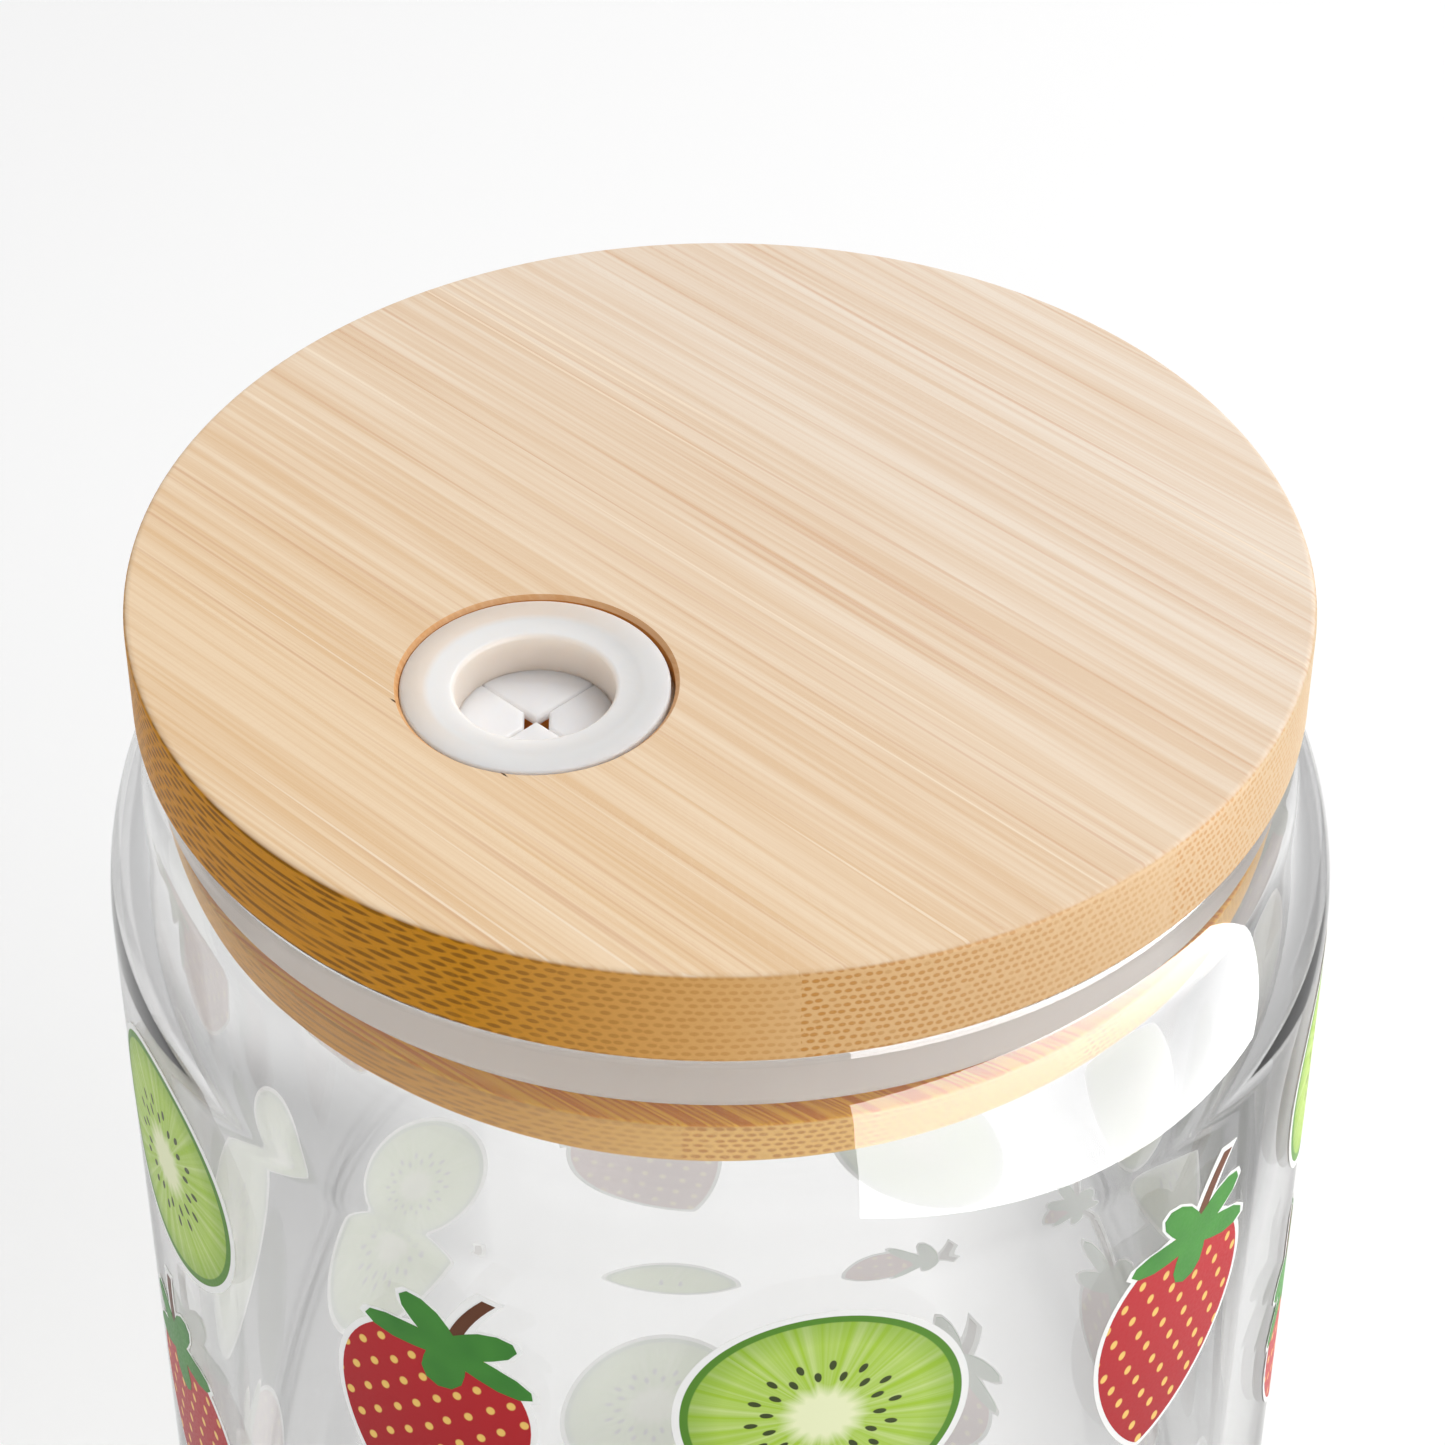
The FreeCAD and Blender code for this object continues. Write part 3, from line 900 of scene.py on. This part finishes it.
def ink_layer(name, outline, number, depth, ink, inks):
    """One ink layer, a thin flat slab that faces -Y, with its front and back materials numbered."""
    inner, outer = (3 - depth) * ink, (4 + depth) * ink
    piece = slab(name, [Vector((x, -inner, z)) for x, z in outline], (0, inner - outer, 0))
    closed_up()
    leave()
    for material in inks:
        piece.data.materials.append(material)
    for face in piece.data.polygons:
        face.material_index = 2 * number + (1 if face.normal.y > 0.5 else 0)
    return piece


def motif(layers):
    """Join ink layers to one flat motif that remembers where each point lies on it."""
    piece = merged(layers)
    places = [value for vertex in piece.data.vertices for value in (vertex.co.x, vertex.co.z, 0.0)]
    piece.data.attributes.new("motif", "FLOAT_VECTOR", "POINT").data.foreach_set("vector", places)
    return piece


def slice_motif(s, inks):
    """A round slice, all of it drawn by its ink."""
    outline = [(s.slice_radius * math.cos(a), s.slice_radius * math.sin(a)) for a in around(96)]
    return motif([ink_layer("slice", outline, 0, 0, s.ink, inks)])


def berry_motif(s, inks):
    """A berry's body, stem and five leaves over a white ground."""
    heart, leaf, leaf_base, leaf_lean = 2.2 * MM, 3.6 * MM, s.berry_height - 0.8 * MM, 0.62
    stem_half, stem_rise, stem_bow, stem_base = 0.42 * MM, 5.2 * MM, 1.4 * MM, s.berry_height - 0.6 * MM
    stem_steps = 8

    def body(margin):
        for a in around(72):
            taper = (0.5 + 0.5 * math.cos(a)) ** 0.3
            yield ((s.berry_width + margin) * math.sin(a) * taper, (s.berry_height + margin) * math.cos(a))

    def calyx(margin):
        for a in around(40):
            reach = heart + margin + leaf * abs(math.cos(2.5 * a + math.pi / 2)) ** 1.6
            yield (reach * math.sin(a), leaf_base + leaf_lean * reach * math.cos(a))

    def stem(margin):
        for side in (-1, 1):
            for i in range(stem_steps + 1)[::-side]:
                up = i / stem_steps
                yield (side * (stem_half + margin) + stem_bow * up ** 2, stem_base + (stem_rise + margin) * up)

    rows = [(body, s.margin, 0, 0), (calyx, s.margin, 0, 0), (stem, s.margin, 0, 0),
            (body, 0, 1, 1), (stem, 0, 3, 1.5), (calyx, 0, 2, 2)]
    return motif([
        ink_layer(outline.__name__, list(outline(margin)), number, depth, s.ink, inks)
        for outline, margin, number, depth in rows
    ])


def put(master, height, tilt, bearing, radius):
    """Copy a flat motif, tilt it, bend it to the wall and turn it to its place."""
    strip, strips = 0.9 * MM, 14
    alone(master)
    bpy.ops.object.duplicate()
    piece = bpy.context.active_object
    edit_all()
    rotate("Y", tilt)
    bpy.ops.transform.translate(value=(0, 0, height))
    sliced(cut * strip for cut in range(-strips, strips + 1))
    leave()
    bpy.context.view_layer.update()
    apply_modifier(
        piece, "SIMPLE_DEFORM", deform_method="BEND", deform_axis="Z", angle=piece.dimensions.x / radius,
    )
    edit_all()
    bpy.ops.transform.translate(value=(0, -radius, 0))
    rotate("Z", -(bearing + math.pi / 2))
    leave()
    return piece


class GLASS_OT_print(bpy.types.Operator):
    """Print slices and berries in turn round the glass wall"""

    bl_idname = "drinking_glass.print"
    bl_label = "Fruit print"

    def execute(self, context):
        s = context.scene.print_sizes
        radius = context.scene.glass_sizes.body_radius
        inks = enamels(s)
        masters = {"slices": slice_motif(s, inks["slices"]), "berries": berry_motif(s, inks["berries"])}
        copies = {name: [] for name in masters}
        for column in range(s.columns):
            for row in range(s.rows):
                kind = "slices" if (column + row) % 2 == 0 else "berries"
                height = s.top_row - row * s.row_pitch - (s.drop if column % 2 else 0)
                # Slices turn unevenly, and berries lean to either side in turn, the lower the more.
                tilt = (37 * column + 61 * row) % 90 - 45 if kind == "slices" else (-1) ** column * (14 + 5 * row)
                bearing = s.first_column + 2 * math.pi * column / s.columns
                copies[kind].append(put(masters[kind], height, math.radians(tilt), bearing, radius))
        for kind, pieces in copies.items():
            merged(pieces)
            dressed(named(f"printed_{kind}"), [], "glass")
            alone(masters[kind])
            bpy.ops.object.delete()
        return {"FINISHED"}


def looked_at(tree):
    """One where the camera sees a surface itself, in a mirror or through glass, nought where light falls on it."""
    path = node(tree, "LightPath").outputs
    seen = path["Is Camera Ray"]
    for way in ("Is Glossy Ray", "Is Transmission Ray"):
        seen = maths(tree, "MAXIMUM", seen, path[way])
    return maths(tree, "MULTIPLY", seen, maths(tree, "LESS_THAN", path["Diffuse Depth"], 0.5))


def matte_board(look):
    """Matte white board. The camera, mirrors and glass see it nearly white, with the object's shadow."""
    lit_to, white_from = 0.34, 0.6
    material, tree = new_material("matte_board")
    place = object_place(tree)
    bump = node(tree, "Bump", {
        "Height": noise(tree, place, 3 * MM, 2.0), "Distance": 0.02 * MM, "Strength": 0.3,
    }).outputs[0]
    matte = node(tree, "BsdfDiffuse", {"Color": look.floor, "Normal": bump}).outputs[0]
    path = node(tree, "LightPath").outputs
    indirect = maths(tree, "MAXIMUM", path["Is Glossy Ray"], path["Is Transmission Ray"])
    lift = maths(tree, "MULTIPLY", indirect, look.glass_lift)
    lift = maths(tree, "MULTIPLY_ADD", path["Is Camera Ray"], look.floor_lift, lift)
    far = ramp(tree, span(tree, place), lit_to, white_from, 0.0, look.far_lift)
    lift = maths(tree, "MULTIPLY_ADD", looked_at(tree), far, lift)
    glow = node(tree, "Emission", {"Color": WHITE, "Strength": lift}).outputs[0]
    return finished(material, node(tree, "AddShader", {0: matte, 1: glow}))


def painted_shade_flock(name, tone, size, start, reach, curve, strength, outside, dark_to, clear_at):
    """Painted shade seen through the glass: a dark card that only rays through both glass walls meet in full,
    thinning out to the card's edges.
    """
    single_wall = 3.0
    past_width, near_fade, far_fade, side_fade = 10 * MM, 30 * MM, 200 * MM, 180 * MM
    material, tree = new_material(f"painted_shade_flock_{name}")
    place = split(tree, object_place(tree))
    depth = maths(tree, "ABSOLUTE", place["Y"])
    crossed = node(tree, "LightPath").outputs["Transmission Depth"]
    share = maths(tree, "MULTIPLY", maths(tree, "GREATER_THAN", crossed, single_wall), strength)
    dense = maths(tree, "POWER", ramp(tree, place["X"], start, start + reach), curve)
    front = ramp(tree, depth, clear_at, dark_to, curve="SMOOTHSTEP")
    inside = maths(tree, "MULTIPLY", maths(tree, "MULTIPLY", dense, share), front)
    past = ramp(tree, place["X"], outside, outside + past_width, 0.0, strength / 2)
    cover = maths(tree, "MAXIMUM", inside, past)
    for along, clear, full in (
        (depth, 0.0, near_fade), (depth, size[1], far_fade), (place["X"], size[0], side_fade),
    ):
        cover = maths(tree, "MULTIPLY", cover, ramp(tree, along, clear, full, curve="SMOOTHSTEP"))
    gap = node(tree, "BsdfTransparent", {"Color": WHITE}).outputs[0]
    shade_flock = node(tree, "BsdfDiffuse", {"Color": tone}).outputs[0]
    return finished(material, node(tree, "MixShader", {0: cover, 1: gap, 2: shade_flock}))


def lay_floor(look):
    """A wide board under the glass."""
    alone()
    bpy.ops.mesh.primitive_plane_add(size=8)
    board = named("floor")
    board.data.materials.append(matte_board(look))


def lay_flags(look):
    """Dark cards on the floor, left and right behind the glass, that draw its sides grey: painted shade, hidden
    from the camera and casting no shadow.
    """
    behind = math.radians(134.6)
    wide, deep, above = 300 * MM, 340 * MM, 0.3 * MM
    for name, side, *shade_flock in (
        ("flag_right", 1, 22 * MM, 42 * MM, 1.0, 0.95, 102 * MM, 115 * MM, 150 * MM),
        ("flag_left", -1, 26 * MM, 39 * MM, 0.6, 0.62, 150 * MM, 82 * MM, 102 * MM),
    ):
        alone()
        bpy.ops.mesh.primitive_plane_add(size=1)
        card = named(name)
        edit_all()
        bpy.ops.transform.resize(value=(wide, deep, 1))
        bpy.ops.transform.translate(value=(wide / 2, side * deep / 2, 0))
        leave()
        card.location.z = above
        card.rotation_euler.z = behind - side * math.pi / 2
        card.data.materials.append(painted_shade_flock(name, look.flag, (wide, deep), *shade_flock))
        card.visible_camera = card.visible_diffuse = card.visible_shadow = False


def light_room(context, look):
    """Even grey room that fills the shadows and looks white."""
    world = bpy.data.worlds.new("studio_room")
    context.scene.world = world
    world.use_nodes = True
    tree = world.node_tree
    tree.nodes.clear()
    light, white = [
        node(tree, "Background", {"Color": WHITE, "Strength": strength}).outputs[0]
        for strength in (look.ambient, 1.0)
    ]
    mix = node(tree, "MixShader", {0: looked_at(tree), 1: light, 2: white})
    node(tree, "OutputWorld", {"Surface": mix.outputs[0]})


def softbox(name, left, right, heights, brightness):
    """An upright lit panel between two spots on the floor, each a bearing in degrees and a distance."""
    spots = [Vector((math.cos(math.radians(a)), math.sin(math.radians(a)), 0)) * d for a, d in (left, right)]
    run = spots[1] - spots[0]
    inward = Vector((-run.y, run.x, 0))
    place = (spots[0] + spots[1]) / 2 + Vector((0, 0, sum(heights) / 2))
    if inward.dot(place) > 0:
        inward.negate()
    return panel(name, place, inward, (run.length, heights[1] - heights[0]), brightness)


def ceiling(name, place, size, brightness):
    """A lit panel overhead that faces the lid."""
    return panel(name, place, Vector((0, 0, DISC_HIGH.z)) - place, size, brightness)


def panel(name, place, facing, size, brightness):
    """An area lamp of an even brightness that stays out of the picture."""
    bpy.ops.object.light_add(type="AREA", location=place)
    lamp = named(name)
    lamp.rotation_euler = facing.to_track_quat("-Z", "Y").to_euler()
    lamp.data.shape = "RECTANGLE"
    lamp.data.size, lamp.data.size_y = size
    lamp.data.energy = brightness * math.pi * size[0] * size[1]
    lamp.visible_camera = False
    return lamp


def linked(name, lamps, pieces, state):
    """Keep lamps from some pieces or let them light only those, as flags held under the lid's edge would."""
    group = bpy.data.collections.new(f"under_lid_{name}")
    for piece in pieces:
        group.objects.link(bpy.data.objects[piece])
    for entry in group.collection_objects:
        entry.light_linking.link_state = state
    for lamp in lamps:
        lamp.light_linking.receiver_collection = group


def place_camera(context, look):
    """Looks down on the lid from the front, as in the photograph."""
    bpy.ops.object.camera_add(
        location=(0.13599, -0.13770, 0.28939),
        rotation=(math.radians(50.137), 0, math.radians(44.6)),
    )
    camera = named("camera")
    camera.data.sensor_width = 36
    camera.data.lens = look.lens
    camera.data.clip_start = 0.01
    context.scene.camera = camera
    context.scene.view_settings.view_transform = "Standard"


class GLASS_OT_stage(bpy.types.Operator):
    """Lay the floor, hang the softboxes and place the camera"""

    bl_idname = "drinking_glass.stage"
    bl_label = "Studio"

    def execute(self, context):
        look = context.scene.stage_look
        lay_floor(look)
        light_room(context, look)
        lay_flags(look)
        key = softbox("softbox_key", (-12, 0.5), (32, 0.45), (0.02, 0.32), look.key)
        fill = softbox("softbox_fill", (-118, 0.45), (-84, 0.46), (0.04, 0.36), look.fill)
        low = softbox("softbox_low", (-100, 0.5), (-58, 0.5), (0.24, 0.64), look.low)
        gleam = softbox("softbox_gleam", (-24, 0.38), (52, 0.196), (0.022, 0.25), look.gleam)
        high = ceiling("softbox_high", Vector((0.5, -0.04, 0.64)), (0.36, 0.36), look.high)
        ceiling("softbox_top", Vector((-0.08, 0.5, 0.75)), (0.7, 0.6), look.top)
        for lamp in (key, fill, low, gleam):
            lamp.visible_transmission = False
            lamp.visible_glossy = lamp is gleam
        gleam.visible_diffuse = False
        under = ["seal"] + [f"bamboo_lid_plug_stave_{number}" for number in STAVES]
        linked("off", (key, high), under, "EXCLUDE")
        linked("on", (low,), under, "INCLUDE")
        place_camera(context, look)
        return {"FINISHED"}


class GLASS_PT_sidebar(bpy.types.Panel):
    """Steps and sizes of the drinking glass"""

    bl_idname = "GLASS_PT_sidebar"
    bl_label = "Drinking glass"
    bl_space_type = "VIEW_3D"
    bl_region_type = "UI"
    bl_category = "Drinking Glass"

    def draw(self, context):
        for step, name, _ in STEPS:
            box = self.layout.box()
            box.operator(step.bl_idname)
            sizes = getattr(context.scene, name)
            for key in sizes.bl_rna.properties.keys():
                if key not in ("rna_type", "name"):
                    box.prop(sizes, key)


STEPS = (
    (GLASS_OT_body, "glass_sizes", GlassSizes),
    (GLASS_OT_lid, "lid_sizes", LidSizes),
    (GLASS_OT_seal, "seal_sizes", SealSizes),
    (GLASS_OT_port, "port_sizes", PortSizes),
    (GLASS_OT_print, "print_sizes", PrintSizes),
    (GLASS_OT_stage, "stage_look", StageLook),
)


def register():
    for step, name, group in STEPS:
        bpy.utils.register_class(group)
        setattr(bpy.types.Scene, name, bpy.props.PointerProperty(type=group))
        bpy.utils.register_class(step)
    bpy.utils.register_class(GLASS_PT_sidebar)


def unregister():
    bpy.utils.unregister_class(GLASS_PT_sidebar)
    for step, name, group in reversed(STEPS):
        bpy.utils.unregister_class(step)
        delattr(bpy.types.Scene, name)
        bpy.utils.unregister_class(group)


def main():
    register()
    bpy.ops.drinking_glass.body()
    bpy.ops.drinking_glass.lid()
    bpy.ops.drinking_glass.seal()
    bpy.ops.drinking_glass.port()
    bpy.ops.drinking_glass.print()
    bpy.ops.drinking_glass.stage()


if __name__ == "__main__":
    main()
